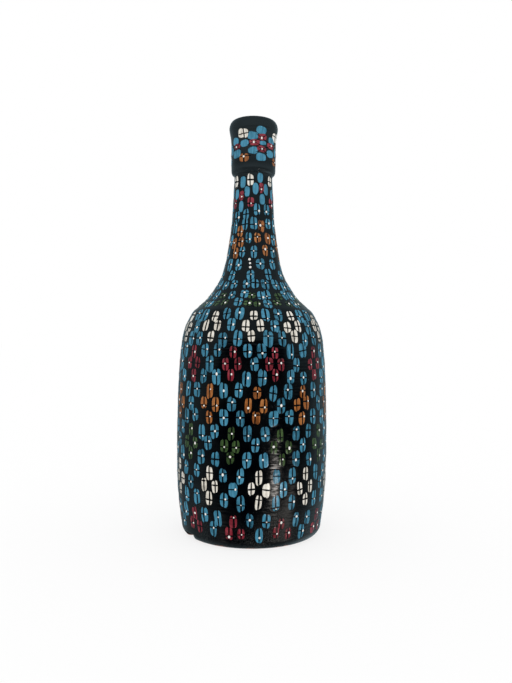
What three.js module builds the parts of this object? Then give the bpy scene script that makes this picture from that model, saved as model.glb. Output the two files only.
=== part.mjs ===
// A hand-thrown clay bottle vase: a floor slab, a straight wall, a sloping shoulder, a long neck and a
// banded mouth collar with a flared lip. The potter forms each section on its own, cuts a step into its
// edge, and lutes it to the next with a film of wet clay slip, so every joint here is a stepped ring.
//
// Units are millimetres. +Z is up, and the origin is the centre of the plane that the foot rests on.

import * as THREE from "three";

// Driving dimensions
const HEIGHT = 276.6;
const WALL = 5.2; // thickness of the thrown clay, square to its surface
const BORE_RADIUS = 9.25; // inside of the neck and mouth, the common 18.5 mm cork size
const SLIP_GAP = 0.3; // film of slip in every luted joint
const STEP_HEIGHT = 3; // how far one section's inner edge steps up inside the next
const SEGMENTS = 48; // facets round the axis

// Outside of the pot below the collar, as [radius, height] from the top of the foot's rounded corner
const POT_OUTLINE = [
  [47.1, 6],
  [48.1, 14],
  [49.7, 28],
  [50.4, 48],
  [50.4, 72],
  [49.8, 100],
  [48.8, 117],
  [47.4, 130],
  [46.2, 135],
  [44.8, 139],
  [42.6, 143.5],
  [40.2, 147.5],
  [36.4, 151],
  [31.2, 156],
  [26.7, 162],
  [21.6, 171],
  [18.8, 180],
  [16.7, 192],
  [14.8, 206],
  [13.7, 222],
  [13.2, 240],
];

// Foot
const FOOT_RADIUS = 42.3; // outer edge of the flat foot ring
const FOOT_RING_WIDTH = 11;
const FOOT_RECESS = 1.2; // how far the middle of the underside is cut away
const FLOOR_TOP = 9;

// Heights of the joints between the sections. The lowest and the highest are the outline's own ends.
const [WALL_RADIUS, WALL_BOTTOM] = POT_OUTLINE[0];
const SHOULDER_BOTTOM = 130;
const NECK_BOTTOM = 162;
const COLLAR_BOTTOM = POT_OUTLINE[POT_OUTLINE.length - 1][1];

// Mouth collar
const TENON_RADIUS = 12.3; // the neck's end is cut back to this, and the collar fits over it
const TENON_TOP = 270; // the collar closes over the neck's end from here up
const BAND_RADIUS = 15.1;
const BAND_TOP = 258; // where the straight band starts to flare
const FLARE_SAG = 0.35; // how far the flare hangs inside a straight line
const LIP_RADIUS = 16.6;
const LIP_HEIGHT = 271.5; // where the flared lip is widest
const RIM_OUTER = 13.6; // flat ring on top of the lip
const RIM_INNER = 10.6;
const BAND_EDGE_WIDTH = 1.5; // the band's lower edge is rolled under
const BAND_EDGE_HEIGHT = 3.2;

// Fired clay under its glossy black coat
const COATED_CLAY = { color: 0x14191d, roughness: 0.28, metalness: 0.0 };

// The inside of the pot: each outline point moved in by the wall's thickness, but never inside the bore
const POT_INSIDE = POT_OUTLINE.map(([radius, height], index) => {
  const [lowerRadius, lowerHeight] = POT_OUTLINE[Math.max(index - 1, 0)];
  const [upperRadius, upperHeight] = POT_OUTLINE[Math.min(index + 1, POT_OUTLINE.length - 1)];
  const run = upperRadius - lowerRadius;
  const rise = upperHeight - lowerHeight;
  const length = Math.hypot(run, rise);
  return [Math.max(radius - (WALL * rise) / length, BORE_RADIUS), height + (WALL * run) / length];
});

// Radius of an outline at a height, on the straight line between its two nearest points
function radiusAt(outline, height) {
  const above = Math.max(outline.findIndex((point) => point[1] >= height), 1);
  const [lowerRadius, lowerHeight] = outline[above - 1];
  const [upperRadius, upperHeight] = outline[above];
  const share = (height - lowerHeight) / (upperHeight - lowerHeight);
  return lowerRadius + share * (upperRadius - lowerRadius);
}

// The part of an outline strictly between two heights, with its two ends added on
function stretch(outline, bottom, top) {
  return [
    [radiusAt(outline, bottom), bottom],
    ...outline.filter(([, height]) => height > bottom && height < top),
    [radiusAt(outline, top), top],
  ];
}

// Points of a quarter ellipse between two angles, as [radius, height]
function arc(centreRadius, centreHeight, halfWidth, halfHeight, startDegrees, endDegrees, steps) {
  const start = THREE.MathUtils.degToRad(startDegrees);
  const end = THREE.MathUtils.degToRad(endDegrees);
  const curve = new THREE.EllipseCurve(centreRadius, centreHeight, halfWidth, halfHeight, start, end);
  return curve.getPoints(steps).map((point) => [point.x, point.y]);
}

// Where a joint's step stands, half way through the wall at that height
function stepRadius(height) {
  return (radiusAt(POT_OUTLINE, height) + radiusAt(POT_INSIDE, height)) / 2;
}

// The stepped lower edge of a section that sits over the one below, from its inside to its outside
function socketEdge(joint) {
  const face = stepRadius(joint) + SLIP_GAP;
  return [
    [face, joint + STEP_HEIGHT + SLIP_GAP],
    [face, joint + SLIP_GAP],
  ];
}

// The stepped upper edge of a section, from its outside to its inside
function spigotEdge(joint) {
  return [
    [stepRadius(joint), joint],
    [stepRadius(joint), joint + STEP_HEIGHT],
  ];
}

// One section: an outline in [radius, height], counter-clockwise, spun round the axis
function section(name, outline) {
  const points = outline.map(([radius, height]) => new THREE.Vector2(radius, height));
  points.push(points[0].clone());
  const geometry = new THREE.LatheGeometry(points, SEGMENTS);
  geometry.rotateX(Math.PI / 2); // the lathe spins about +Y, and the vase stands along +Z
  const mesh = new THREE.Mesh(geometry, new THREE.MeshStandardMaterial(COATED_CLAY));
  mesh.name = name;
  return mesh;
}

// Flat floor on a foot ring with a rounded corner. Its middle stands up a little inside the wall.
function floorSlab() {
  const ringInner = FOOT_RADIUS - FOOT_RING_WIDTH;
  const plugRadius = WALL_RADIUS - WALL - SLIP_GAP;
  return section("floor_slab", [
    [0, FOOT_RECESS],
    [ringInner - FOOT_RECESS, FOOT_RECESS],
    [ringInner, 0],
    ...arc(FOOT_RADIUS, WALL_BOTTOM, WALL_RADIUS - FOOT_RADIUS, WALL_BOTTOM, -90, 0, 5),
    [plugRadius, WALL_BOTTOM],
    [plugRadius, FLOOR_TOP],
    [0, FLOOR_TOP],
  ]);
}

// Straight wall of the body, standing on the rim of the floor slab
function bodyWall() {
  const bottom = WALL_BOTTOM + SLIP_GAP;
  return section("body_wall", [
    [WALL_RADIUS - WALL, bottom],
    ...stretch(POT_OUTLINE, bottom, SHOULDER_BOTTOM),
    ...spigotEdge(SHOULDER_BOTTOM),
    ...stretch(POT_INSIDE, bottom + WALL, SHOULDER_BOTTOM + STEP_HEIGHT).reverse(),
  ]);
}

// Sloping shoulder between the wall and the neck
function shoulder() {
  return section("shoulder", [
    ...socketEdge(SHOULDER_BOTTOM),
    ...stretch(POT_OUTLINE, SHOULDER_BOTTOM + SLIP_GAP, NECK_BOTTOM),
    ...spigotEdge(NECK_BOTTOM),
    ...stretch(POT_INSIDE, SHOULDER_BOTTOM + STEP_HEIGHT + SLIP_GAP, NECK_BOTTOM + STEP_HEIGHT).reverse(),
  ]);
}

// Long tapering neck. Its upper end is a thin tenon for the collar.
function neck() {
  const insideBottom = NECK_BOTTOM + STEP_HEIGHT + SLIP_GAP;
  return section("neck", [
    ...socketEdge(NECK_BOTTOM),
    ...stretch(POT_OUTLINE, NECK_BOTTOM + SLIP_GAP, COLLAR_BOTTOM),
    [TENON_RADIUS, COLLAR_BOTTOM],
    [TENON_RADIUS, TENON_TOP],
    [BORE_RADIUS, TENON_TOP],
    ...stretch(POT_INSIDE, insideBottom, COLLAR_BOTTOM - WALL).reverse(),
  ]);
}

// Band round the neck's end, flaring into a rounded lip that closes over the tenon
function mouthCollar() {
  const sleeve = TENON_RADIUS + SLIP_GAP;
  const underside = COLLAR_BOTTOM + SLIP_GAP;
  const ceiling = TENON_TOP + SLIP_GAP;
  const mouthCurve = RIM_INNER - BORE_RADIUS;
  return section("mouth_collar", [
    [sleeve, underside],
    ...arc(BAND_RADIUS - BAND_EDGE_WIDTH, underside + BAND_EDGE_HEIGHT, BAND_EDGE_WIDTH, BAND_EDGE_HEIGHT,
      -90, 0, 4),
    [BAND_RADIUS, BAND_TOP],
    [(BAND_RADIUS + LIP_RADIUS) / 2 - FLARE_SAG, (BAND_TOP + LIP_HEIGHT) / 2],
    ...arc(RIM_OUTER, LIP_HEIGHT, LIP_RADIUS - RIM_OUTER, HEIGHT - LIP_HEIGHT, 0, 90, 5),
    ...arc(RIM_INNER, HEIGHT - mouthCurve, mouthCurve, mouthCurve, 90, 180, 3),
    [BORE_RADIUS, ceiling],
    [sleeve, ceiling],
  ]);
}

const vase = new THREE.Group();
vase.name = "bottle_vase";
vase.add(floorSlab());
vase.add(bodyWall());
vase.add(shoulder());
vase.add(neck());
vase.add(mouthCollar());

export default vase;
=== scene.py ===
"""Looks of the painted clay bottle vase: fired clay, a glossy black coat, and flowers painted by hand.

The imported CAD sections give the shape. Their outlines join into one smooth surface, and the coat, the
petals, the cross strokes and the dots are all laid on that surface.

Lengths are millimetres until a mesh is made, and angles are degrees until they are used. Azimuth 0 is the
side that faces the camera, and azimuth grows to the camera's right. "Path" is the distance along the coat's
outline, from the foot upwards.
"""

import math
import random

import bmesh
import bpy
import numpy as np
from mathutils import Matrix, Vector


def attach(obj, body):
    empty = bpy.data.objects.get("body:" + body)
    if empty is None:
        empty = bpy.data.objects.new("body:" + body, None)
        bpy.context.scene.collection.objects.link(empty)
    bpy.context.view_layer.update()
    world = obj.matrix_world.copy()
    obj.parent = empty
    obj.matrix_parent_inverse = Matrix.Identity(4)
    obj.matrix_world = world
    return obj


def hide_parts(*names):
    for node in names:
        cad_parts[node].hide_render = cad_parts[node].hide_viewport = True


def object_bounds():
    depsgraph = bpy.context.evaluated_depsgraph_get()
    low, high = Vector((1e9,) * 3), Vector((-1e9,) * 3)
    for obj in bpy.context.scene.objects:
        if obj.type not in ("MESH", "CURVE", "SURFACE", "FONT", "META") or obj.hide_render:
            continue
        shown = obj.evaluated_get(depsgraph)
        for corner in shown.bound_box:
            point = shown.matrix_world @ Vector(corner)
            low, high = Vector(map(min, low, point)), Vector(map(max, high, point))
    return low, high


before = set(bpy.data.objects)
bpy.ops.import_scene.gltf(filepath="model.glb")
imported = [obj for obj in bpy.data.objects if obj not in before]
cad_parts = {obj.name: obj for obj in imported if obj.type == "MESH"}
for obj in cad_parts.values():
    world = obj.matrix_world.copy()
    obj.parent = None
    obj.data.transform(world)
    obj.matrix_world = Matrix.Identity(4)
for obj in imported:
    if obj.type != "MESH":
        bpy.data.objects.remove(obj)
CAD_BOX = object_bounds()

MM = 0.001
HEIGHT = CAD_BOX[1].z / MM
TOUCH = 0.005  # two CAD points nearer than this are the same point
MERGE = 0.0005  # the same for the points of a finished mesh
BODY = "root"

# ---------------------------------------- the outline, from the CAD sections


def meridian(node):
    """The (radius, height) outline that a CAD section was spun from, from its lowest inner point outwards."""
    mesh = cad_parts[node].data
    links = {}
    for edge in mesh.edges:
        ends = [mesh.vertices[index].co / MM for index in edge.vertices]
        if all(abs(end.x) < TOUCH and end.y < TOUCH for end in ends):
            first, second = [(abs(round(end.y, 2)), round(end.z, 2)) for end in ends]
            links.setdefault(first, set()).add(second)
            links.setdefault(second, set()).add(first)
    start = min(links, key=lambda point: (len(links[point]), point[1], point[0]))
    outline = [start, max(links[start])]
    while links[outline[-1]] - set(outline):
        outline.append((links[outline[-1]] - set(outline)).pop())
    return outline


def outermost(point):
    """True if no CAD section reaches further out than this point at its height."""
    radius, height = point
    for outline in MERIDIANS.values():
        for (radius_a, height_a), (radius_b, height_b) in zip(outline, outline[1:]):
            if min(height_a, height_b) <= height <= max(height_a, height_b):
                reach = max(radius_a, radius_b)
                if height_a != height_b:
                    share = (height - height_a) / (height_b - height_a)
                    reach = radius_a + share * (radius_b - radius_a)
                if reach > radius + TOUCH:
                    return False
    return True


def curve_through(knots, step):
    """A centripetal Catmull-Rom curve through the knots, as points about one step apart."""
    knots = [np.array(knot) for knot in knots]
    before = 2 * knots[0] - knots[1]
    after = 2 * knots[-1] - knots[-2]
    points = [before, *knots, after]
    curve = []
    for p0, p1, p2, p3 in zip(points, points[1:], points[2:], points[3:]):
        t1 = np.linalg.norm(p1 - p0) ** 0.5
        t2 = t1 + np.linalg.norm(p2 - p1) ** 0.5
        t3 = t2 + np.linalg.norm(p3 - p2) ** 0.5
        count = max(1, round(float(np.linalg.norm(p2 - p1)) / step))
        t = np.linspace(t1, t2, count, endpoint=False)[:, None]
        a1 = ((t1 - t) * p0 + t * p1) / t1
        a2 = ((t2 - t) * p1 + (t - t1) * p2) / (t2 - t1)
        a3 = ((t3 - t) * p2 + (t - t2) * p3) / (t3 - t2)
        b1 = ((t2 - t) * a1 + t * a2) / t2
        b2 = ((t3 - t) * a2 + (t - t1) * a3) / (t3 - t1)
        curve.extend(((t2 - t) * b1 + (t - t1) * b2) / (t2 - t1))
    return np.array(curve + [knots[-1]])


MERIDIANS = {node: meridian(node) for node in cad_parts}
PAINT_ROOM = 0.04  # the coat starts this far inside the CAD outline, to leave room for paint
COAT_IN_MOUTH = 4.0  # how far the coat runs down inside the mouth
KNOT_SPACING = 0.45  # knots nearer than this are the two edges of one hidden joint
CURVE_STEP = 0.2


def coat_knots():
    """Points of the coat's outline, from the foot ring's outer edge, over the lip and into the mouth."""
    outside = {point for outline in MERIDIANS.values() for point in outline if outermost(point)}
    outside = sorted(outside, key=lambda point: point[1])
    knots = outside[:1]
    for point in outside[1:]:
        if math.dist(point, knots[-1]) > KNOT_SPACING:
            knots.append(point)
    collar = MERIDIANS["mouth_collar"]
    knots += collar[collar.index(outside[-1]) + 1:-2]
    bore_radius, mouth_edge = knots[-1]
    return knots + [(bore_radius, mouth_edge - COAT_IN_MOUTH)]


class Outline:
    """The coat's smooth outline, looked up by the distance along it."""

    def __init__(self, knots):
        curve = curve_through(knots, CURVE_STEP)
        self.radius = curve[:, 0]
        self.height = np.clip(curve[:, 1], 0, HEIGHT)
        steps = np.hypot(np.diff(self.radius), np.diff(self.height))
        self.path = np.concatenate([[0], np.cumsum(steps)])
        self.out = np.gradient(self.height, self.path)
        self.up = -np.gradient(self.radius, self.path)
        self.top = int(np.argmax(self.height))
        self.end = self.path[-1]

    def at_height(self, height):
        """Path of the place at a height on the outside."""
        return np.interp(height, self.height[:self.top], self.path[:self.top])

    def nearest(self, point):
        """Path of the place nearest to a (radius, height) point."""
        return self.path[np.argmin(np.hypot(self.radius - point[0], self.height - point[1]))]

    def place(self, path, lift):
        """Radius and height of places `lift` off the outline."""
        radius = np.interp(path, self.path, self.radius) + lift * np.interp(path, self.path, self.out)
        height = np.interp(path, self.path, self.height) + lift * np.interp(path, self.path, self.up)
        return radius, height


OUTLINE = Outline(coat_knots())

# ---------------------------------------- the surface that everything lies on

RIDGE_DEPTH = 0.02  # rings left by the potter's fingers and the brush
RIDGE_PITCH = 2.1
RIDGE_DRIFT = 2.2, 0.9  # how far the rings stray from an even pitch up the pot, and round it, in radians
RIDGE_FADE = 0.35  # how much shallower the rings are in places
WOBBLE = 0.12  # how far the pot is out of round
ROUND_FOOT = 20  # below this height the pot gets truer
CHIP_AZIMUTH = -59.5  # the foot's edge is chipped here
CHIP_HALF_WIDTH = 4.8
CHIP_HEIGHT = 4.2
CHIP_DEPTH = 7.0
CHIP_RAGGED = 0.18, 0.1  # how uneven the chip's sides and its top are


def ridges(azimuth, height):
    """Uneven rings from the wheel. The odd lengths keep the unevenness from repeating."""
    phase = 2 * math.pi * height / RIDGE_PITCH
    phase = phase + RIDGE_DRIFT[0] * np.sin(height / 8.3)
    phase = phase + RIDGE_DRIFT[1] * np.sin(azimuth + height / 29)
    depth = 1 - RIDGE_FADE + RIDGE_FADE * np.sin(height / 13 + azimuth)
    return RIDGE_DEPTH * (1 + np.sin(phase)) * depth


def wobble(azimuth, height):
    """How oval and three-cornered the pot is, which turns slowly with the height."""
    oval = np.sin(2 * azimuth + height / 47)
    three_cornered = np.sin(3 * azimuth - height / 90 + 1)
    return WOBBLE / 2 * (oval + three_cornered) * np.clip(height / ROUND_FOOT, 0, 1)


def chip(azimuth, height):
    """The flake that is missing from the foot's edge."""
    across = (azimuth - math.radians(CHIP_AZIMUTH)) * OUTLINE.radius[0] / CHIP_HALF_WIDTH
    edge = 1 + CHIP_RAGGED[0] * np.sin(9 * across) + CHIP_RAGGED[1] * np.sin(4 * height)
    return CHIP_DEPTH * np.sqrt(np.clip(edge - across ** 4 - (height / CHIP_HEIGHT) ** 4, 0, 1))


def dent(azimuth, height):
    """How far in from the smooth outline the surface lies, for azimuths in radians."""
    return ridges(azimuth, height) + wobble(azimuth, height) + chip(azimuth, height)


def on_surface(azimuth, path, lift):
    """Points in metres, `lift` millimetres off the coat. Azimuths are in radians."""
    radius, height = OUTLINE.place(path, lift - PAINT_ROOM)
    radius = radius - dent(azimuth, height)
    return np.stack([radius * np.sin(azimuth), -radius * np.cos(azimuth), height], axis=-1) * MM


# ---------------------------------------- making meshes


def link_object(name, mesh):
    placed = bpy.data.objects.new(name, mesh)
    bpy.context.scene.collection.objects.link(placed)
    return placed


def add_piece(name, mesh, material, sharp_degrees):
    """Finishes a closed mesh, with its faces pointing out, and makes it a piece of the vase."""
    shell = bmesh.new()
    shell.from_mesh(mesh)
    bmesh.ops.remove_doubles(shell, verts=shell.verts, dist=MERGE * MM)
    if shell.calc_volume(signed=True) < 0:
        bmesh.ops.reverse_faces(shell, faces=shell.faces)
    for face in shell.faces:
        face.smooth = True
    for edge in shell.edges:
        edge.smooth = edge.calc_face_angle(0) < math.radians(sharp_degrees)
    shell.to_mesh(mesh)
    shell.free()
    piece = link_object(name, mesh)
    mesh.materials.append(material)
    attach(piece, BODY)
    return piece


AZIMUTH_STEPS = 112
CHIP_STEPS = range(-9, 10)
CHIP_STEP = 0.55


def azimuths():
    """Azimuths of a spun mesh's columns: even, and closer together across the chip."""
    even = [360 * step / AZIMUTH_STEPS - 180 for step in range(AZIMUTH_STEPS)]
    chip = [CHIP_AZIMUTH + CHIP_STEP * step for step in CHIP_STEPS]
    kept = [azimuth for azimuth in even if min(abs(azimuth - near) for near in chip) > CHIP_STEP]
    return np.radians(sorted(kept + chip))


def spun_mesh(name, columns):
    """A mesh from closed loops of points, one loop for each azimuth."""
    count, length = columns.shape[:2]
    faces = []
    for column in range(count):
        left = column * length
        right = (column + 1) % count * length
        for row in range(length):
            above = (row + 1) % length
            faces.append((left + row, right + row, right + above, left + above))
    mesh = bpy.data.meshes.new(name)
    mesh.from_pydata(columns.reshape(-1, 3).tolist(), [], faces)
    return mesh


# ---------------------------------------- clay and coat

COAT_THICKNESS = 0.26
CLAY_DEPTH = 0.3  # the clay lies this far under the coat's outside
COAT_STEP = 0.56
INNER_STEP = 4.0
CLAY_STEP = 1.2
COAT_SHARP = 80  # folds sharper than this show as an edge
CLAY_SHARP = 35
PAINT_SHARP = 60


def black_coat(material):
    """One continuous thin coat from the foot's edge, over the lip, to a little way inside the mouth."""
    outer = np.linspace(0, OUTLINE.end, round(OUTLINE.end / COAT_STEP))
    inner = np.linspace(OUTLINE.end, 0, round(OUTLINE.end / INNER_STEP))
    path = np.concatenate([outer, inner])
    lift = np.concatenate([np.zeros_like(outer), np.full_like(inner, -COAT_THICKNESS)])
    columns = np.stack([on_surface(azimuth, path, lift) for azimuth in azimuths()])
    add_piece("black_coat", spun_mesh("black_coat", columns), material, COAT_SHARP)


def bare_stretch(points):
    """Points of a section's outline that no coat covers, with long straight stretches divided up."""
    refined = [points[0]]
    for start, end in zip(points, points[1:]):
        count = max(1, round(math.dist(start, end) / INNER_STEP))
        for step in range(1, count + 1):
            refined.append(tuple(np.array(start) + (np.array(end) - start) * step / count))
    return np.array(refined)


def clay_section(node, name, material):
    """A CAD section as a smooth solid of fired clay, cut back where the coat covers it."""
    outline = MERIDIANS[node]
    _, coat_end = OUTLINE.place(OUTLINE.end, 0)
    lip_radius = OUTLINE.radius[OUTLINE.top]
    coated = [p for p in outline if outermost(p) or (p[0] < lip_radius and p[1] > coat_end)]
    first, last = outline.index(coated[0]), outline.index(coated[-1])
    path_first = OUTLINE.nearest(coated[0])
    path_last = OUTLINE.end if node == "mouth_collar" else OUTLINE.nearest(coated[-1])
    path = np.linspace(path_first, path_last, max(2, round((path_last - path_first) / CLAY_STEP)))
    bare = bare_stretch(outline[last + 1:] + outline[:first])
    loops = []
    for azimuth in azimuths():
        covered = on_surface(azimuth, path, -CLAY_DEPTH)
        radius, height = bare[:, 0] * MM, bare[:, 1] * MM
        inside = np.stack([radius * math.sin(azimuth), -radius * math.cos(azimuth), height], axis=-1)
        loops.append(np.concatenate([covered, inside]))
    piece = add_piece(name, spun_mesh(name, np.stack(loops)), material, CLAY_SHARP)
    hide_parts(node)


# ---------------------------------------- paint


class Film:
    """Many small closed patches of paint in one mesh, each with its own shade and its own thin edges."""

    def __init__(self):
        self.points = []
        self.faces = []
        self.shade = []
        self.thickness = []
        self.count = 0

    def add(self, rings, cap, shade, thickness):
        """A patch from rings of points, with the two points of `cap` in the middle of its top and bottom."""
        size = rings.shape[1]
        top, bottom = self.count, self.count + 1
        first = self.count + 2
        for near in range(size):
            far = (near + 1) % size
            self.faces.append((top, first + near, first + far))
            for ring in range(len(rings) - 1):
                low = first + ring * size
                self.faces.append((low + near, low + size + near, low + size + far, low + far))
            last = first + (len(rings) - 1) * size
            self.faces.append((bottom, last + far, last + near))
        points = np.concatenate([cap, rings.reshape(-1, 3)])
        self.points.append(points)
        self.shade += [shade] * len(points)
        self.thickness += [1, 0] + [value for value in thickness for _ in range(size)]
        self.count += len(points)

    def finish(self, name, material, slot):
        """Makes the piece, with what the material reads."""
        mesh = bpy.data.meshes.new(name)
        mesh.from_pydata(np.concatenate(self.points).tolist(), [], self.faces)
        for attribute, values in (("shade", self.shade), ("thickness", self.thickness)):
            mesh.attributes.new(attribute, "FLOAT", "POINT").data.foreach_set("value", values)
        add_piece(name, mesh, material, PAINT_SHARP)


PETAL_THICKNESS = 0.11
PETAL_SUNK = 0.12  # patches go this far under the coat's surface, so that they are closed solids
PETAL_ANGLES = np.radians(sorted([*range(0, 360, 15), 83, 97, 263, 277]))  # closer at the notched ends
PETAL_RINGS = 0.45, 0.8, 0.95, 1.0
NOTCH_WIDTH = 0.2  # of the notch between the two dabs, in half widths
DAB_STEP = 4  # how sharply one dab's end gives way to the other's
ONE_DAB_SQUARENESS = 0.9  # a petal made with one dab is rounder than one made with two
EDGE_LIFT = 0.03
OVERPAINT = 0.06  # how far a petal painted over others stands above them
STROKE_POINTS = 7
STROKE_TAPER = 0.5
STROKE_LIFT = 0.05
STROKE_EDGE_LIFT = 0.015
UPRIGHT_STROKE_WIDTH = 1.05
LEVEL_STROKE_WIDTH = 0.95
SLANTED_STROKE_WIDTH = 0.55
SLANTED_REACH = 1.3, 1.1  # half of a slanted stroke, across and along, in shares of the half sizes
UPRIGHT_REACH = 1.08
DOT_DIAMETER = 1.16
DOT_LIFT = 0.3
DOT_SIDES = 12
DOT_RINGS = 0.4, 0.75, 0.95, 1.0

# How the hand varies, as the two ends of an even spread, in shares of the half sizes or of the wanted size
TOP_NOTCHES = 0.04, 0.24
BOTTOM_NOTCHES = 0.0, 0.18
TOP_UNEVENNESS = -0.11, 0.11  # how much further the right dab reaches, and the left one falls short
BOTTOM_UNEVENNESS = -0.1, 0.1
SQUARENESS = 2.5, 3.6  # the power of the oval: 2 is an ellipse
LEANS = -0.08, 0.08  # how much wider a petal is above its middle than below it
WIDTHS = 0.88, 1.12
LENGTHS = 0.9, 1.12
UPRIGHT_WIDTHS = 0.75, 1.2
LEVEL_WIDTHS = 0.75, 1.25
LEVEL_REACHES = 1.05, 1.45
DOT_SIZES = 0.7, 1.35
STACK_DOT_SIZES = 1.2, 1.45
DOT_STRETCHES = 0.9, 1.35
DOT_ASIDES = 0.0, 0.0, 0.1, 0.35, 0.55  # one of these

# The same, as the spread of a bell curve. The first three are in degrees, millimetres and degrees.
AZIMUTH_DRIFT = 0.55
HEIGHT_DRIFT = 0.45
TILT_DRIFT = 2.0
MIDDLE_DRIFT = 0.13, 0.2
UPRIGHT_SLANT = 0.06
LEVEL_SLANT = 0.04
DOT_DRIFT = 0.08

# Shares of the petals that have each mark
WITH_UPRIGHT_STROKE = 0.97
WITH_LEVEL_STROKE = 0.93
WITH_DOT = 0.94


def signed_power(value, power):
    return np.sign(value) * np.abs(value) ** power


class Petal:
    """One oval petal, painted with two upright dabs of the brush, side by side, or with a single dab."""

    def __init__(self, draw, azimuth, height, size, tilt=0.0, over=0.0, dabs=2):
        self.azimuth = math.radians(azimuth)
        self.path = float(OUTLINE.at_height(height))
        self.half_width, self.half_height = size[0] / 2, size[1] / 2
        self.tilt = math.radians(tilt)
        self.over = over
        self.notch = draw.uniform(*TOP_NOTCHES), draw.uniform(*BOTTOM_NOTCHES)
        self.uneven = draw.uniform(*TOP_UNEVENNESS), draw.uniform(*BOTTOM_UNEVENNESS)
        self.squareness = draw.uniform(*SQUARENESS)
        self.lean = draw.uniform(*LEANS)
        self.shade = draw.random()
        if dabs == 1:
            self.notch = 0.0, 0.0
            self.squareness *= ONE_DAB_SQUARENESS

    def rim(self, angle):
        """Across and along, in shares of the half sizes, of the petal's edge."""
        power = 2 / self.squareness
        across = signed_power(np.cos(angle), power)
        along = signed_power(np.sin(angle), power)
        upper = along > 0
        notch = np.where(upper, *self.notch) * np.exp(-((across / NOTCH_WIDTH) ** 2))
        uneven = np.where(upper, *self.uneven) * np.tanh(across * DAB_STEP)
        return across * (1 + self.lean * along), along * (1 - notch + uneven)

    def lift(self, share):
        """Height of the paint at a share of the way from the petal's middle to its edge."""
        return self.over + EDGE_LIFT + PETAL_THICKNESS * (1 - np.clip(share, 0, 1) ** 4)

    def points(self, across, along, lift):
        """Points on the vase, for shares of the half sizes."""
        right = across * self.half_width
        up = along * self.half_height
        turned_right = right * math.cos(self.tilt) - up * math.sin(self.tilt)
        turned_up = right * math.sin(self.tilt) + up * math.cos(self.tilt)
        path = self.path + turned_up
        radius, _ = OUTLINE.place(path, 0)
        return on_surface(self.azimuth + turned_right / radius, path, lift)

    def paint(self, film):
        """Adds the petal's own patch of colour."""
        across, along = self.rim(PETAL_ANGLES)
        rings = [self.points(across * share, along * share, self.lift(share)) for share in PETAL_RINGS]
        rings.append(self.points(across, along, -PETAL_SUNK))
        zero = np.zeros(2)
        cap = self.points(zero, zero, np.array([self.lift(0), -PETAL_SUNK]))
        film.add(np.stack(rings), cap, self.shade, [1 - share ** 5 for share in PETAL_RINGS] + [0])

    def stroke(self, film, start, end, width):
        """Adds a thin tapering stroke on top of the petal's paint. Its ends are shares of the half sizes."""
        share = np.linspace(0, 1, STROKE_POINTS)
        across = np.interp(share, (0, 1), (start[0], end[0]))
        along = np.interp(share, (0, 1), (start[1], end[1]))
        run = (end[0] - start[0]) * self.half_width
        rise = (end[1] - start[1]) * self.half_height
        length = math.hypot(run, rise)
        half = width / 2 * (1 - STROKE_TAPER * np.abs(2 * share - 1) ** 6)
        aside = -rise / length * half / self.half_width
        above = run / length * half / self.half_height
        base = self.lift(np.hypot(across, along))
        sides = [
            self.points(across - aside, along - above, base + STROKE_EDGE_LIFT),
            self.points(across, along, base + STROKE_LIFT),
            self.points(across + aside, along + above, base + STROKE_EDGE_LIFT),
            self.points(across, along, base - PETAL_SUNK),
        ]
        rings = np.stack(sides, axis=1)
        cap = np.stack([rings[0].mean(0), rings[-1].mean(0)])
        film.add(rings, cap, self.shade, [1] * len(share))

    def dot(self, film, across, along, diameter, stretch):
        """Adds a drop of paint on the petal, stretched upwards by the brush."""
        angle = np.linspace(0, 2 * math.pi, DOT_SIDES, endpoint=False)
        right = np.cos(angle) * diameter / 2 / self.half_width
        up = np.sin(angle) * diameter * stretch / 2 / self.half_height
        base = float(self.lift(math.hypot(across, along)))
        rings = []
        for share in DOT_RINGS:
            lift = base + DOT_LIFT * math.sqrt(1 - share ** 2)
            rings.append(self.points(across + right * share, along + up * share, lift))
        rings.append(self.points(across + right, along + up, -PETAL_SUNK / 2))
        middle = np.full(2, across), np.full(2, along)
        cap = self.points(*middle, np.array([base + DOT_LIFT, -PETAL_SUNK / 2]))
        film.add(np.stack(rings), cap, self.shade, [1] * len(rings))


# Marks on a petal: a cross, a cross and a dot, a slanted cross and a dot, or none
CROSSED, BOTH, SLANTED, PLAIN = "crossed", "both", "slanted", "plain"


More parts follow.
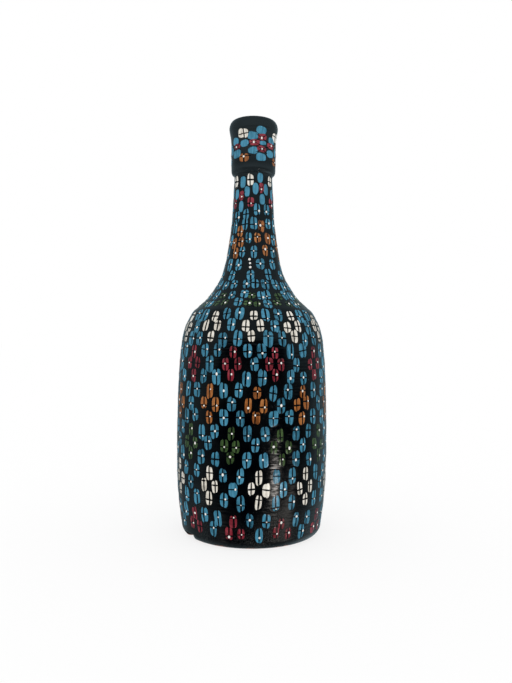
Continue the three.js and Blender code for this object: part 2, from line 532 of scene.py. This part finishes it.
class Painter:
    """Paints petals in one film for each colour, with the strokes and dots over them."""

    def __init__(self, seed):
        self.draw = random.Random(seed)
        self.films = {name: Film() for name in ("blue", "red", "orange", "green", "cream", "stroke", "dot")}

    def petal(self, colour, azimuth, height, size, marks=BOTH, loose=1.0):
        """A petal of about that (width, height), a little off its place, as a hand paints it."""
        draw = self.draw
        azimuth += draw.gauss(0, AZIMUTH_DRIFT) * loose
        height += draw.gauss(0, HEIGHT_DRIFT) * loose
        size = size[0] * draw.uniform(*WIDTHS), size[1] * draw.uniform(*LENGTHS)
        over = OVERPAINT if marks == SLANTED else 0.0
        dabs = 1 if marks in (PLAIN, SLANTED) else 2
        petal = Petal(draw, azimuth, height, size, draw.gauss(0, TILT_DRIFT) * loose, over, dabs)
        petal.paint(self.films[colour])
        across, along = [draw.gauss(0, drift) for drift in MIDDLE_DRIFT]
        if marks in (CROSSED, BOTH):
            self.cross(petal, across, along)
        if marks == SLANTED:
            self.slanted_cross(petal, across, along)
        if marks == SLANTED or (marks == BOTH and draw.random() < WITH_DOT):
            diameter = DOT_DIAMETER * draw.uniform(*DOT_SIZES)
            aside = 0.0 if marks == SLANTED else draw.choice(DOT_ASIDES)
            stretch = draw.uniform(*DOT_STRETCHES)
            petal.dot(self.films["dot"], across + aside, along + draw.gauss(0, DOT_DRIFT), diameter, stretch)

    def cross(self, petal, across, along):
        """The black strokes that part a petal in four. A few petals miss one of them."""
        draw = self.draw
        if draw.random() < WITH_UPRIGHT_STROKE:
            width = UPRIGHT_STROKE_WIDTH * draw.uniform(*UPRIGHT_WIDTHS)
            slant = draw.gauss(0, UPRIGHT_SLANT)
            start, end = (across + slant, UPRIGHT_REACH), (across - slant, -UPRIGHT_REACH)
            petal.stroke(self.films["stroke"], start, end, width)
        if draw.random() < WITH_LEVEL_STROKE:
            width = LEVEL_STROKE_WIDTH * draw.uniform(*LEVEL_WIDTHS)
            slant = draw.gauss(0, LEVEL_SLANT)
            left, right = -draw.uniform(*LEVEL_REACHES), draw.uniform(*LEVEL_REACHES)
            petal.stroke(self.films["stroke"], (left, along + slant), (right, along - slant), width)

    def slanted_cross(self, petal, across, along):
        """Two thin strokes from corner to corner."""
        right, up = SLANTED_REACH
        for side in (1, -1):
            start = across - right, along - side * up
            end = across + right, along + side * up
            petal.stroke(self.films["stroke"], start, end, SLANTED_STROKE_WIDTH)


# Rows of flowers round the body: colour, petal size, height of the flowers' middles, and the azimuths of the
# flowers on the camera's side. The hidden side goes on at an even spacing.
BANDS = (
    ("cream", (4.7, 7.2), 137.3, (-67, -33.5, 1, 34, 67.5)),
    ("red", (4.5, 7.6), 113.8, (-49, -14.5, 17, 53.5)),
    ("orange", (4.7, 8.3), 88.9, (-67.5, -31.5, 3, 39)),
    ("green", (4.7, 8.1), 63.8, (-49, -15, 21.5, 58)),
    ("cream", (4.4, 8.2), 37.9, (-67, -31, 5, 42.5)),
    ("red", (4.4, 7.6), 10.4, (-46.5, -12, 23.5, 60)),
)
FLOWERS_ROUND = 10
ROW_STEP = 8.2  # from row to row of petals, along the surface
FLOWER_REACH = 0.94  # from a flower's middle to its top and bottom petals' middles, in petal lengths
FLOWER_SPREAD = 4.2  # from a flower's middle to its side petals' middles, along the surface
BLUE_WIDTHS = 4.9, 5.6  # at the foot, and from LEVEL_HEIGHT up
BLUE_HEIGHT = 9.3
LOW_SIDE = 2.3  # the lowest rows run down to the right by this much
LEVEL_HEIGHT = 120  # from here up, the rows run level


def all_round(seen, count):
    """Azimuths of a whole row: those on the camera's side, and the rest at an even spacing."""
    hidden = count - len(seen)
    gap = (seen[0] + 360 - seen[-1]) / (hidden + 1)
    return list(seen) + [seen[-1] + gap * (index + 1) for index in range(hidden)]


def along_surface(height, distance):
    """The height reached by going that far up along the surface."""
    return float(OUTLINE.place(OUTLINE.at_height(height) + distance, 0)[1])


def degrees_across(height, distance):
    """The angle that a distance across the surface spans at a height."""
    return math.degrees(distance / OUTLINE.place(OUTLINE.at_height(height), 0)[0])


def paint_band(painter, colour, petal, middle, seen):
    """A row of four-petal flowers, with two blue petals between their tips and one between their sides."""
    marks = CROSSED if colour == "cream" else BOTH
    reach = FLOWER_REACH * petal[1]
    blue = float(np.interp(middle, (0, LEVEL_HEIGHT), BLUE_WIDTHS)), BLUE_HEIGHT

    def paint(petal_colour, azimuth, height, size, petal_marks):
        """Paints a petal of the row, which slopes if the row is low."""
        slope = LOW_SIDE * max(0.0, 1 - height / LEVEL_HEIGHT) * math.sin(math.radians(azimuth))
        painter.petal(petal_colour, azimuth, height - slope, size, petal_marks)

    flowers = all_round(seen, FLOWERS_ROUND)
    for flower, following in zip(flowers, flowers[1:] + [flowers[0] + 360]):
        gap = following - flower
        spread = degrees_across(middle, FLOWER_SPREAD)
        paint(colour, flower - spread, middle, petal, marks)
        paint(colour, flower + spread, middle, petal, marks)
        paint("blue", flower + gap / 2, middle, blue, BOTH)
        for side in (1, -1):
            if middle + side * reach < petal[1] / 2:
                continue
            paint(colour, flower, along_surface(middle, side * reach), petal, marks)
            row = along_surface(middle, side * ROW_STEP)
            for share in (1 / 3, 2 / 3):
                paint("blue", flower + share * gap, row, blue, BOTH)


# Single rows on the shoulder: colour, height, number round the vase, azimuths on the camera's side, and size
SHOULDER_SIZE = 5.0, 7.4
GREEN_SIZE = 4.9, 5.4
SHOULDER_ROWS = (
    ("blue", 152.0, 10, (-52, -15.4, 15.4, 51), (5.4, 7.6)),
    ("green", 151.8, 20, (-41, -29.5, -4.8, 4.9, 26.5, 39.6), GREEN_SIZE),
    ("green", 156.8, 10, (-38, 0, 32.5), GREEN_SIZE),
    ("blue", 157.6, 20, (-50, -25.6, -10, 9.5, 18.5, 45, 57), SHOULDER_SIZE),
    ("blue", 164.3, 22, (-43, -27.8, -9.6, 3.6, 19.7, 37.5, 53), SHOULDER_SIZE),
    ("blue", 170.9, 11, (-38, -4, 28.9, 60), SHOULDER_SIZE),
    ("blue", 178.0, 11, (-52, -28.7, 14.4, 42), (5.3, 8.0)),
)
DOT_STACK = (-6.4, 181.2), (-5, 178.6), (-4.4, 175.9)

# The neck, which the painter repeats three times round: colour, marks, size, and (azimuth, height) places
NECK_REPEATS = 3
NECK = (
    ("blue", BOTH, (4.4, 7.8), (
        (2, 186.5), (-23.5, 186.5), (49.7, 186.5), (-9.8, 196), (57, 195), (1.6, 206), (42.8, 206),
        (-21, 204.6), (-51.7, 204), (-19, 211.7), (-47, 210.2), (10.7, 214.6), (40.5, 215),
    )),
    ("orange", BOTH, (4.4, 7.4), (
        (21.7, 203.6), (11.8, 195.5), (37.8, 195.5), (28, 187.3),
        (-33.7, 200.3), (-48, 192.5), (-28, 192.8), (-40, 185.7),
    )),
    ("red", BOTH, (4.2, 6.9), ((-7, 219.8), (59.3, 219.8))),
    ("cream", CROSSED, (4.3, 7.6), ((-8, 234.8), (59.5, 234.6))),
    ("red", SLANTED, (3.6, 6.6), ((24.4, 229.2), (-35, 224.6))),
    ("blue", PLAIN, (3.8, 7.4), (
        (20.6, 235.8), (6.8, 228.6), (39.6, 228.4), (26, 222.0),
        (-31.5, 232.9), (-53, 226.0), (-16.8, 226.9), (-35, 217.6),
    )),
)

# The collar, which the painter repeats on the far side
COLLAR_REPEATS = 2
COLLAR = (
    ("blue", PLAIN, (6.7, 5.0), (
        (19.8, 266.6), (-1.5, 262.6), (-1, 253.6), (20, 249.8), (-51.5, 260.8), (-23, 258.2),
        (-47.5, 252.3), (52.5, 261.2), (49, 252.8), (-76, 255), (80, 254.5), (98, 258), (92, 249.5),
    )),
    ("red", SLANTED, (6.4, 4.2), (
        (22.5, 262.3), (2.5, 258.8), (21.4, 254.4), (-46.5, 257.2), (49.5, 257.6), (90, 254),
    )),
    ("blue", PLAIN, (5.4, 2.9), ((25, 258.2),)),
    ("cream", CROSSED, (8.2, 5.8), ((-27, 265.3), (71, 264.6))),
    ("orange", BOTH, (7.9, 5.0), ((-24.5, 248.9), (72, 247.6))),
)


GROUP_LOOSENESS = 0.6  # the petals of a group keep closer to their places than those of a row


def paint_groups(painter, groups, repeats):
    """Paints groups of petals, again and again round the vase."""
    for repeat in range(repeats):
        turn = 360 * repeat / repeats
        for colour, marks, size, places in groups:
            for azimuth, height in places:
                painter.petal(colour, azimuth + turn, height, size, marks, GROUP_LOOSENESS)


def paint_dots(painter, places, repeats):
    """Paints single dots straight onto the coat or onto petals that are already there."""
    for repeat in range(repeats):
        turn = 360 * repeat / repeats
        for azimuth, height in places:
            ground = Petal(painter.draw, azimuth + turn, height, (DOT_DIAMETER, DOT_DIAMETER))
            diameter = DOT_DIAMETER * painter.draw.uniform(*STACK_DOT_SIZES)
            ground.dot(painter.films["dot"], 0.0, 0.0, diameter, 1.0)


def paint_vase(painter):
    for band in BANDS:
        paint_band(painter, *band)
    for colour, height, count, seen, size in SHOULDER_ROWS:
        for azimuth in all_round(seen, count):
            painter.petal(colour, azimuth, height, size)
    paint_dots(painter, DOT_STACK, NECK_REPEATS)
    paint_groups(painter, NECK, NECK_REPEATS)
    paint_groups(painter, COLLAR, COLLAR_REPEATS)


# ---------------------------------------- materials

NOISE_ROUGHNESS = 0.55
MIX_INPUTS = 0, 6, 7  # the Mix node's sockets for the share and the two colours
MIX_OUTPUT = 2  # its socket for the mixed colour


class Look:
    """A material being built: its Principled shader and short ways to add nodes."""

    def __init__(self, name, roughness, gloss):
        self.material = bpy.data.materials.new(name)
        self.material.use_nodes = True
        self.tree = self.material.node_tree
        self.shader = self.tree.nodes["Principled BSDF"]
        self.shader.inputs["Roughness"].default_value = roughness
        self.shader.inputs["Specular IOR Level"].default_value = gloss

    def node(self, kind, **settings):
        node = self.tree.nodes.new(kind)
        for name, value in settings.items():
            setattr(node, name, value)
        return node

    def link(self, output, node, socket):
        self.tree.links.new(output, node.inputs[socket])

    def noise(self, scale, detail=3.0):
        """Noise in the vase's own space. scale is in features per metre along X, Y and Z."""
        place = self.node("ShaderNodeTexCoord")
        stretch = self.node("ShaderNodeMapping")
        stretch.inputs["Scale"].default_value = scale
        noise = self.node("ShaderNodeTexNoise")
        noise.inputs["Scale"].default_value = 1.0
        noise.inputs["Detail"].default_value = detail
        noise.inputs["Roughness"].default_value = NOISE_ROUGHNESS
        self.link(place.outputs["Object"], stretch, "Vector")
        self.link(stretch.outputs["Vector"], noise, "Vector")
        return noise.outputs["Fac"]

    def ramp(self, value, *stops):
        """Colour by value, as (position, colour) stops. A grey is one number."""
        ramp = self.node("ShaderNodeValToRGB")
        elements = ramp.color_ramp.elements
        while len(elements) < len(stops):
            elements.new(0.5)
        for element, (position, colour) in zip(elements, stops):
            element.position = position
            element.color = (*colour, 1) if isinstance(colour, tuple) else (colour, colour, colour, 1)
        self.link(value, ramp, "Fac")
        return ramp.outputs["Color"]

    def mix(self, share, first, second, blend="MIX"):
        """Mixes two colours. Any of the three can be an output or a fixed value."""
        mix = self.node("ShaderNodeMix", data_type="RGBA", blend_type=blend)
        for index, value in zip(MIX_INPUTS, (share, first, second)):
            if isinstance(value, bpy.types.NodeSocket):
                self.tree.links.new(value, mix.inputs[index])
            else:
                mix.inputs[index].default_value = (*value, 1) if isinstance(value, tuple) else value
        return mix.outputs[MIX_OUTPUT]

    def maths(self, operation, first, second):
        node = self.node("ShaderNodeMath", operation=operation)
        for index, value in enumerate((first, second)):
            if isinstance(value, bpy.types.NodeSocket):
                self.tree.links.new(value, node.inputs[index])
            else:
                node.inputs[index].default_value = value
        return node.outputs["Value"]

    def add(self, first, second):
        return self.maths("ADD", first, second)

    def subtract(self, first, second):
        return self.maths("SUBTRACT", first, second)

    def times(self, first, second):
        return self.maths("MULTIPLY", first, second)

    def attribute(self, name):
        return self.node("ShaderNodeAttribute", attribute_name=name).outputs["Fac"]

    def height(self):
        """Height above the foot, in metres."""
        place = self.node("ShaderNodeTexCoord")
        split = self.node("ShaderNodeSeparateXYZ")
        self.link(place.outputs["Object"], split, "Vector")
        return split.outputs["Z"]

    def height_share(self):
        """Height from 0 at the foot to 1 at the rim."""
        return self.times(self.height(), 1 / (HEIGHT * MM))

    def bump(self, value, depth):
        """Raises the surface by up to `depth` millimetres where the value is high."""
        bump = self.node("ShaderNodeBump")
        bump.inputs["Strength"].default_value = 1.0
        bump.inputs["Distance"].default_value = depth * MM
        self.link(value, bump, "Height")
        self.link(bump.outputs["Normal"], self.shader, "Normal")


COAT_BLACK = 0.0003, 0.0006, 0.0014
COAT_DUSTY = 0.0025, 0.0034, 0.0038
FOOT_DUST = 0.030, 0.031, 0.030
# painted sheen: the tent's tint, for the reflection that is painted into the coat's colour
PAINTED_SHEEN_TINT = 0.74, 1.0, 1.1
CLAY_DARK = 0.19, 0.060, 0.028
CLAY_LIGHT = 0.42, 0.165, 0.080
DOT_IVORY = 0.78, 0.75, 0.68
DOT_WHITE = 0.93, 0.92, 0.88

# The three shades of each paint: where it is thin, its body, and where it lies thick
PAINTS = {
    "blue": ((0.008, 0.060, 0.098), (0.036, 0.180, 0.275), (0.062, 0.270, 0.410)),
    "red": ((0.050, 0.005, 0.008), (0.200, 0.015, 0.027), (0.310, 0.034, 0.052)),
    "orange": ((0.090, 0.028, 0.006), (0.280, 0.088, 0.017), (0.430, 0.165, 0.042)),
    "green": ((0.010, 0.022, 0.008), (0.033, 0.068, 0.019), (0.064, 0.120, 0.038)),
    "cream": ((0.360, 0.330, 0.275), (0.760, 0.720, 0.630), (0.880, 0.850, 0.780)),
}

# Specular level of each surface
VARNISH_GLOSS = 0.3
STROKE_GLOSS = 0.15
PETAL_GLOSS = 0.5
CLAY_GLOSS = 0.5

# Scales of the noise, in features per metre along X, Y and Z
BRUSH_LINES = 140.0, 140.0, 800.0  # fine level lines left by the wheel and the brush
VARNISH_PATCHES = 55.0, 55.0, 40.0
DUST_CLOUDS = 42.0, 42.0, 30.0
DUST_GRAIN = 1500.0, 1500.0, 1500.0
WORN_SPOTS = 260.0, 260.0, 420.0
UPRIGHT_STREAKS = 1050.0, 1050.0, 110.0  # a brush pulled upwards
PETAL_CLOUDS = 420.0, 420.0, 300.0
STROKE_GRAIN = 700.0, 700.0, 700.0
DOT_GRAIN = 900.0, 900.0, 900.0
CLAY_RINGS = 70.0, 70.0, 800.0
CLAY_GRAIN = 1600.0, 1600.0, 1600.0
CLAY_CLOUDS = 45.0, 45.0, 45.0

# By share of the vase's height: how much painted sheen lightens the coat in place of the varnish's
# reflection, how much rougher its foot is, how deep the brush lines are, and how much painted light lightens
# the petals near the mouth
PAINTED_SHEEN_BY_HEIGHT = (
    (0.52, 0.0), (0.57, 0.005), (0.66, 0.0025), (0.855, 0.003),
    (0.87, 0.016), (0.88, 0.016), (0.892, 0.005), (0.93, 0.0155), (1.0, 0.0125),
)
ROUGHER_BY_HEIGHT = (0.0, 0.11), (0.15, 0.0)
LINES_BY_HEIGHT = (0.05, 0.4), (0.15, 1.0), (0.28, 1.0), (0.36, 0.35), (0.86, 0.35), (0.9, 0.1)
PAINTED_LIGHT_BY_HEIGHT = (0.48, 0.0), (0.56, 0.07), (0.75, 0.08), (0.87, 0.12)

DUST_START = 0.42  # how much dust lies at the foot, on top of the clouds of it
DUST_FADE = 9.0  # how fast it thins out, per metre of height
DUST_CLOUDINESS = 0.9
BARE_START = 0.62  # the same for the edge where the coat is rubbed down to the clay
BARE_FADE = 130.0
BARE_RAGGED = 0.6


def foot_dust(look):
    """Share of dust in the coat: grainy clouds that thin out above the foot."""
    thinning = look.subtract(DUST_START, look.times(look.height(), DUST_FADE))
    clouds = look.add(thinning, look.times(look.noise(DUST_CLOUDS), DUST_CLOUDINESS))
    grain = look.noise(DUST_GRAIN, detail=2.0)
    return look.times(look.ramp(clouds, (0.64, 0.0), (0.98, 1.0)), look.ramp(grain, (0.44, 0.0), (0.66, 1.0)))


def bare_edge(look, spots):
    """1 where the coat's lowest edge is rubbed down to the clay, with a ragged limit."""
    thinning = look.subtract(BARE_START, look.times(look.height(), BARE_FADE))
    return look.ramp(look.add(thinning, look.times(spots, BARE_RAGGED)), (0.78, 0.0), (0.86, 1.0))


def coat_material():
    """Black paint under varnish: dusty and rubbed at the foot, with a painted sheen that grows towards the
    mouth.
    """
    look = Look("black_varnished_paint", roughness=0.2, gloss=VARNISH_GLOSS)
    up = look.height_share()
    patches = look.noise(VARNISH_PATCHES)
    spots = look.noise(WORN_SPOTS, detail=5.0)
    colour = look.mix(look.ramp(patches, (0.42, 0.0), (0.72, 1.0)), COAT_BLACK, COAT_DUSTY)
    colour = look.mix(foot_dust(look), colour, FOOT_DUST)
    # painted sheen: a lightening by height in the tent's tint, which stands in for the varnish's reflection
    painted_sheen = look.mix(1.0, look.ramp(up, *PAINTED_SHEEN_BY_HEIGHT), PAINTED_SHEEN_TINT, "MULTIPLY")
    colour = look.mix(1.0, colour, painted_sheen, "ADD")
    colour = look.mix(bare_edge(look, spots), colour, look.mix(spots, CLAY_DARK, CLAY_LIGHT))
    look.link(colour, look.shader, "Base Color")
    rough = look.add(look.ramp(patches, (0.3, 0.09), (0.75, 0.2)), look.ramp(up, *ROUGHER_BY_HEIGHT))
    look.link(rough, look.shader, "Roughness")
    lines = look.noise(BRUSH_LINES, detail=1.0)
    look.bump(look.times(lines, look.ramp(up, *LINES_BY_HEIGHT)), 0.2)
    return look.material


STREAKINESS = 1.2
CLOUDINESS = 0.5
SHADE_SPREAD = 0.3  # how much one petal's shade differs from the next one's
TONE_OFFSET = 0.42  # brings the sum of these back to the middle of the three shades
THIN_RAGGED = 0.6  # how uneven the limit of the thin paint is at a petal's edge


def petal_material(name, thin, body, light):
    """Brushed paint: darker where it is thin, with upright streaks, a shade of its own on each petal, and
    painted light towards the mouth.
    """
    look = Look(name, roughness=0.3, gloss=PETAL_GLOSS)
    streaks = look.noise(UPRIGHT_STREAKS)
    clouds = look.noise(PETAL_CLOUDS)
    tone = look.add(look.times(streaks, STREAKINESS), look.times(clouds, CLOUDINESS))
    tone = look.add(tone, look.times(look.attribute("shade"), SHADE_SPREAD))
    # painted light: the petals grow lighter towards the mouth, where more light falls on them
    tone = look.add(tone, look.ramp(look.height_share(), *PAINTED_LIGHT_BY_HEIGHT))
    brushed = look.ramp(look.subtract(tone, TONE_OFFSET), (0.28, thin), (0.56, body), (0.86, light))
    cover = look.add(look.attribute("thickness"), look.times(streaks, THIN_RAGGED))
    covered = look.ramp(cover, (0.25, 0.0), (0.62, 1.0))
    look.link(look.mix(covered, thin, brushed), look.shader, "Base Color")
    look.link(look.ramp(clouds, (0.3, 0.14), (0.7, 0.32)), look.shader, "Roughness")
    look.bump(look.add(streaks, look.noise(BRUSH_LINES, detail=1.0)), 0.04)
    return look.material


def stroke_material():
    """Thin black lines of the coat's own paint, a little less glossy."""
    look = Look("black_line_paint", roughness=0.3, gloss=STROKE_GLOSS)
    grain = look.noise(STROKE_GRAIN)
    look.link(look.ramp(grain, (0.3, COAT_BLACK), (0.8, COAT_DUSTY)), look.shader, "Base Color")
    look.link(look.ramp(grain, (0.3, 0.22), (0.7, 0.4)), look.shader, "Roughness")
    look.bump(grain, 0.02)
    return look.material


def dot_material():
    """Thick white drops."""
    look = Look("white_dot_paint", roughness=0.3, gloss=PETAL_GLOSS)
    grain = look.noise(DOT_GRAIN)
    look.link(look.ramp(grain, (0.3, DOT_IVORY), (0.6, DOT_WHITE)), look.shader, "Base Color")
    look.link(look.ramp(grain, (0.3, 0.25), (0.7, 0.4)), look.shader, "Roughness")
    look.bump(grain, 0.03)
    return look.material


def clay_material():
    """Bare red clay, with rings from the wheel and dark specks."""
    look = Look("fired_red_clay", roughness=0.85, gloss=CLAY_GLOSS)
    rings = look.noise(CLAY_RINGS, detail=4.0)
    grain = look.noise(CLAY_GRAIN, detail=2.0)
    clouds = look.noise(CLAY_CLOUDS, detail=4.0)
    tone = look.add(look.times(rings, 0.45), look.times(clouds, 0.55))
    colour = look.ramp(tone, (0.35, CLAY_DARK), (0.7, CLAY_LIGHT))
    specks = look.ramp(grain, (0.3, 0.55), (0.42, 1.0))
    look.link(look.mix(1.0, colour, specks, "MULTIPLY"), look.shader, "Base Color")
    look.link(look.ramp(grain, (0.3, 0.75), (0.7, 0.95)), look.shader, "Roughness")
    look.bump(look.add(rings, look.times(grain, 0.5)), 0.12)
    return look.material


# ---------------------------------------- the pieces

SEED = 11  # of the hand's variation
CLAY_PIECES = {
    "floor_slab": "clay_floor",
    "body_wall": "clay_wall",
    "shoulder": "clay_shoulder",
    "neck": "clay_neck",
    "mouth_collar": "clay_collar",
}


def build_vase():
    clay = clay_material()
    for node, name in CLAY_PIECES.items():
        clay_section(node, name, clay)
    black_coat(coat_material())
    painter = Painter(SEED)
    paint_vase(painter)
    for colour, (thin, body, light) in PAINTS.items():
        material = petal_material(f"{colour}_petal_paint", thin, body, light)
        painter.films[colour].finish(f"petals_{colour}", material, f"{colour}_paint")
    painter.films["stroke"].finish("cross_strokes", stroke_material(), "black_coat")
    painter.films["dot"].finish("white_dots", dot_material(), "cream_paint")


# ---------------------------------------- camera, stage and light

CAMERA_DISTANCE = 430  # from the vase's axis
CAMERA_ASIDE = 2.5  # the camera stands this far to the right of the axis
CAMERA_HEIGHT = 129
CAMERA_PITCH = -0.2  # above the horizon
CAMERA_ROLL = -0.37  # leans the vase to the right in the picture
LENS = 33.2
SENSOR = 36  # the longer side of the picture
WHITE = 1, 1, 1, 1
BLACK = 0, 0, 0, 1


def add_camera():
    """A camera at the picture's angle: level, and just under half the vase's height."""
    data = bpy.data.cameras.new("camera")
    data.lens = LENS
    data.sensor_width = SENSOR
    camera = bpy.data.objects.new("camera", data)
    bpy.context.scene.collection.objects.link(camera)
    camera.location = Vector((CAMERA_ASIDE, -CAMERA_DISTANCE, CAMERA_HEIGHT)) * MM
    camera.rotation_euler = (math.radians(90 + CAMERA_PITCH), math.radians(CAMERA_ROLL), 0)
    bpy.context.scene.camera = camera


FLOOR_RADIUS = 8.0  # metres
FLOOR_SIDES = 64
FLOOR_GREY = 0.22, 0.22, 0.22, 1
FLOOR_GLOW = 0.78  # with the light on its grey, this makes it as white as the background


def add_floor():
    """A wide pale floor that meets the white background without a line."""
    mesh = bpy.data.meshes.new("floor")
    angles = np.linspace(0, 2 * math.pi, FLOOR_SIDES, endpoint=False)
    rim = [(FLOOR_RADIUS * math.cos(angle), FLOOR_RADIUS * math.sin(angle), 0) for angle in angles]
    mesh.from_pydata(rim, [], [tuple(range(len(rim)))])
    floor = link_object("floor", mesh)
    look = Look("pale_floor", roughness=0.9, gloss=0.0)
    look.shader.inputs["Base Color"].default_value = FLOOR_GREY
    look.shader.inputs["Emission Color"].default_value = WHITE
    look.shader.inputs["Emission Strength"].default_value = FLOOR_GLOW
    mesh.materials.append(look.material)
    floor.visible_glossy = False


def add_world():
    """An even white room, which lights the paint but leaves the reflections to the tent."""
    world = bpy.data.worlds.new("room")
    bpy.context.scene.world = world
    world.use_nodes = True
    background = world.node_tree.nodes["Background"]
    background.inputs["Color"].default_value = WHITE
    background.inputs["Strength"].default_value = 1.0
    world.cycles_visibility.glossy = False


TENT_RADIUS = 3.0  # metres
TENT_SEGMENTS = 72
TENT_COLOUR = 0.74, 1.0, 1.10
TENT_LOW = 0.27  # brightness of the tent's sides and back below the horizon
TENT_HIGH = 0.30  # the same above the horizon
TENT_FRONT = 0.46  # brightness of its front above the horizon
TENT_RIGHT = 0.3  # how much brighter its back is on the right, and darker on the left
TENT_GROUND = 0.8  # how much brighter it is low down, with twice that on the right and none on the left

# Where the tent shades from one part into the next, as two ends of a smooth step in shares of its radius
FRONT_TO_SIDES = -0.8, -0.5
FRONT_TO_BACK = -0.85, 0.05
SIDES_TO_BACK = -0.2, 0.6
FRONT_HORIZON = -0.12, -0.05
HORIZON_RISE = 0.14, 0.2  # how much higher those two ends are at the sides
GROUND_STARTS = 0.3, 0.6
GROUND_ENDS = 0.75, 0.95
RIGHT_SHIFT = 0.4  # the back starts this much further back on the right


def smooth_step(value, start, end):
    """0 up to the start, 1 from the end on, and an even curve between them."""
    share = np.clip((value - start) / (end - start), 0, 1)
    return share * share * (3 - 2 * share)


def tent_glow(direction):
    """Brightness of the tent in a direction: dark in front below the horizon, and grey everywhere else."""
    right, away, up = direction.T
    beside = smooth_step(away, *FRONT_TO_SIDES)
    horizon = [low + rise * beside for low, rise in zip(FRONT_HORIZON, HORIZON_RISE)]
    high = smooth_step(up, *horizon)
    ground = smooth_step(-up, *GROUND_STARTS) * (1 - smooth_step(-up, *GROUND_ENDS))
    behind = smooth_step(away - RIGHT_SHIFT * np.clip(right, 0, 1), *FRONT_TO_BACK)
    sides = TENT_LOW * behind * (1 + TENT_RIGHT * right * smooth_step(away, *SIDES_TO_BACK))
    upper = TENT_FRONT + (TENT_HIGH - TENT_FRONT) * behind
    return sides * (1 - high) * (1 + TENT_GROUND * (1 + right) * ground) + upper * high


def add_tent():
    """A big tent that is only seen in the vase's gloss."""
    mesh = bpy.data.meshes.new("light_tent")
    ball = bmesh.new()
    bmesh.ops.create_uvsphere(ball, u_segments=TENT_SEGMENTS, v_segments=TENT_SEGMENTS, radius=TENT_RADIUS)
    bmesh.ops.reverse_faces(ball, faces=ball.faces)
    ball.to_mesh(mesh)
    ball.free()
    place = np.array([vertex.co for vertex in mesh.vertices])
    glow = mesh.attributes.new("glow", "FLOAT", "POINT")
    glow.data.foreach_set("value", tent_glow(place / TENT_RADIUS))
    look = Look("light_tent", roughness=1.0, gloss=0.0)
    look.shader.inputs["Base Color"].default_value = BLACK
    look.shader.inputs["Emission Color"].default_value = (*TENT_COLOUR, 1)
    look.link(look.attribute("glow"), look.shader, "Emission Strength")
    show_in_gloss(mesh, look)


def show_in_gloss(mesh, look):
    """Adds a glowing mesh that nothing but gloss can see."""
    look.material.cycles.emission_sampling = "NONE"
    mesh.materials.append(look.material)
    glowing = link_object(mesh.name, mesh)
    glowing.visible_camera = False
    glowing.visible_diffuse = False
    glowing.visible_shadow = False


# What stands near the camera and is reflected in the coat: how far in front of the vase, from where to where
# across and in height, brightness, and how much of it is soft edge (0.5 is all of it)
PANES = (
    (440, (-820, 820), (-90, 295), 0.0, 0.25),  # the dark photographer
    (400, (205, 340), (-155, -40), 30.0, 0.45),  # a window
    (420, (200, 1300), (-560, -110), 2.4, 0.5),  # the pale room round the window
    (400, (-546, -277), (-486, -242), 1.0, 0.5),  # a pale patch low on the left
)
PANE_COLOUR = 1.0, 0.94, 0.88
PANE_STEPS = 14


def add_pane(distance, across, heights, brightness, softness):
    """An upright pane with soft edges."""
    share = np.linspace(0, 1, PANE_STEPS + 1)
    edge = smooth_step(0.5 - np.abs(share - 0.5), 0, softness)
    columns = np.interp(share, (0, 1), across)
    rows = np.interp(share, (0, 1), heights)
    corners = np.array([(x, -distance, z) for z in rows for x in columns])
    faces = []
    for row in range(PANE_STEPS):
        for column in range(PANE_STEPS):
            low = row * (PANE_STEPS + 1) + column
            faces.append((low, low + 1, low + PANE_STEPS + 2, low + PANE_STEPS + 1))
    mesh = bpy.data.meshes.new("pane")
    mesh.from_pydata((corners * MM).tolist(), [], faces)
    mesh.attributes.new("cover", "FLOAT", "POINT").data.foreach_set("value", np.outer(edge, edge).ravel())
    look = Look("pane", roughness=1.0, gloss=0.0)
    look.shader.inputs["Base Color"].default_value = BLACK
    look.shader.inputs["Emission Color"].default_value = (*PANE_COLOUR, 1)
    look.shader.inputs["Emission Strength"].default_value = brightness
    look.link(look.attribute("cover"), look.shader, "Alpha")
    show_in_gloss(mesh, look)


def add_lights():
    add_world()
    add_tent()
    for pane in PANES:
        add_pane(*pane)


# ---------------------------------------- the scene

add_camera()
build_vase()
add_floor()
add_lights()
bpy.context.scene.view_settings.view_transform = "Standard"
